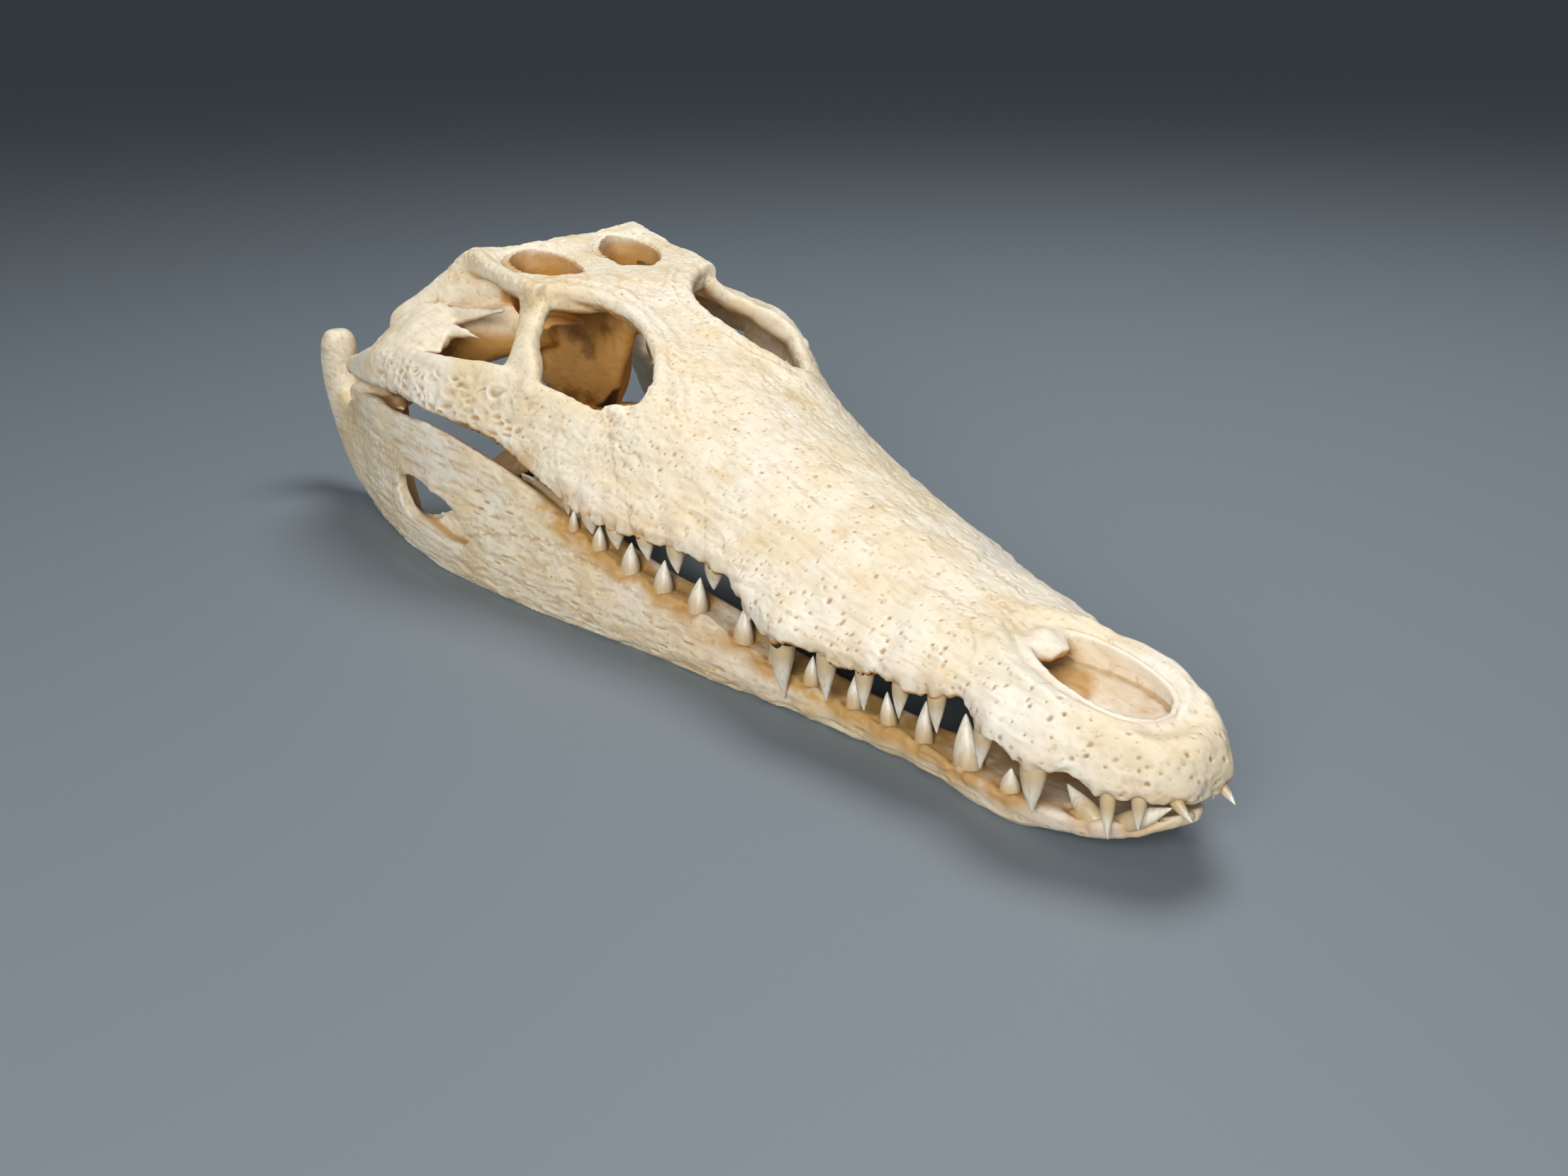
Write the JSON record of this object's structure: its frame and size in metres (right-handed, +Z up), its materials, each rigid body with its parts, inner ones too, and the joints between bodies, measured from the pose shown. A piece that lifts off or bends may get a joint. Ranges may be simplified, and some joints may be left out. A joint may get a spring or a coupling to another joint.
{
  "type": "crocodile skull",
  "caption": "Long narrow reptile skull with its lower jaw closed, pegged tooth rows, open eye sockets and a flat table at the back, lying on the lower jaw",
  "frame": {"origin": "on the surface that the lower jaw rests on, at the middle of the skull's length and width", "axes": "+X towards the snout tip, +Y to the animal's left, +Z up"},
  "size_m": [0.3212, 0.1232, 0.0818],
  "materials": {
    "bone": "dry cream bone with tan stains, satin",
    "jaw_bone": "dry cream bone, slightly darker, satin"
  },
  "bodies": {
    "root": {"rostrum": "bone", "skull_roof": "bone", "cheek_right": "bone", "cheek_left": "bone", "palate": "bone", "mandible_right": "jaw_bone", "mandible_left": "jaw_bone"}
  },
  "joints": []
}
